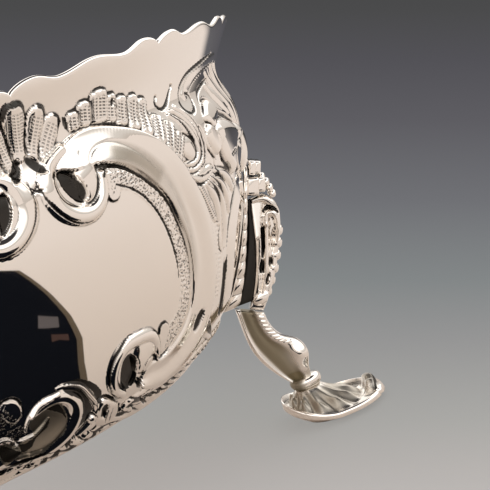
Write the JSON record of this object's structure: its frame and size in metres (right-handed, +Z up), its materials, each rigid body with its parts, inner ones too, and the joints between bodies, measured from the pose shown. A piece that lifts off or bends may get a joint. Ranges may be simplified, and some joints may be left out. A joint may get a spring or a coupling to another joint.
{
  "type": "silver bowl on three feet",
  "caption": "Round raised-silver bowl with a flared scalloped rim, standing on cast scroll legs with shell feet.",
  "frame": {"origin": "on the table, at the middle of the box round the rim and the feet; the bowl's own axis stands 2.5 mm in front of it, at y = -2.5 mm", "axes": "+Z up along the bowl's axis, a chased panel faces -Y, one leg stands at the back (+Y) and the other two at the front left and right"},
  "size_m": [0.13, 0.1347, 0.0715],
  "materials": {
    "raised_silver": "polished, hand-raised silver sheet",
    "cast_silver": "polished silver castings, softer than the sheet"
  },
  "bodies": {
    "root": {"bowl_body": "raised_silver", "knee_backing_front_right": "cast_silver", "knee_scroll_front_right": "cast_silver", "leg_front_right": "cast_silver", "shell_foot_front_right": "cast_silver", "knee_backing_front_left": "cast_silver", "knee_scroll_front_left": "cast_silver", "leg_front_left": "cast_silver", "shell_foot_front_left": "cast_silver", "knee_backing_back": "cast_silver", "knee_scroll_back": "cast_silver", "leg_back": "cast_silver", "shell_foot_back": "cast_silver"}
  },
  "joints": []
}
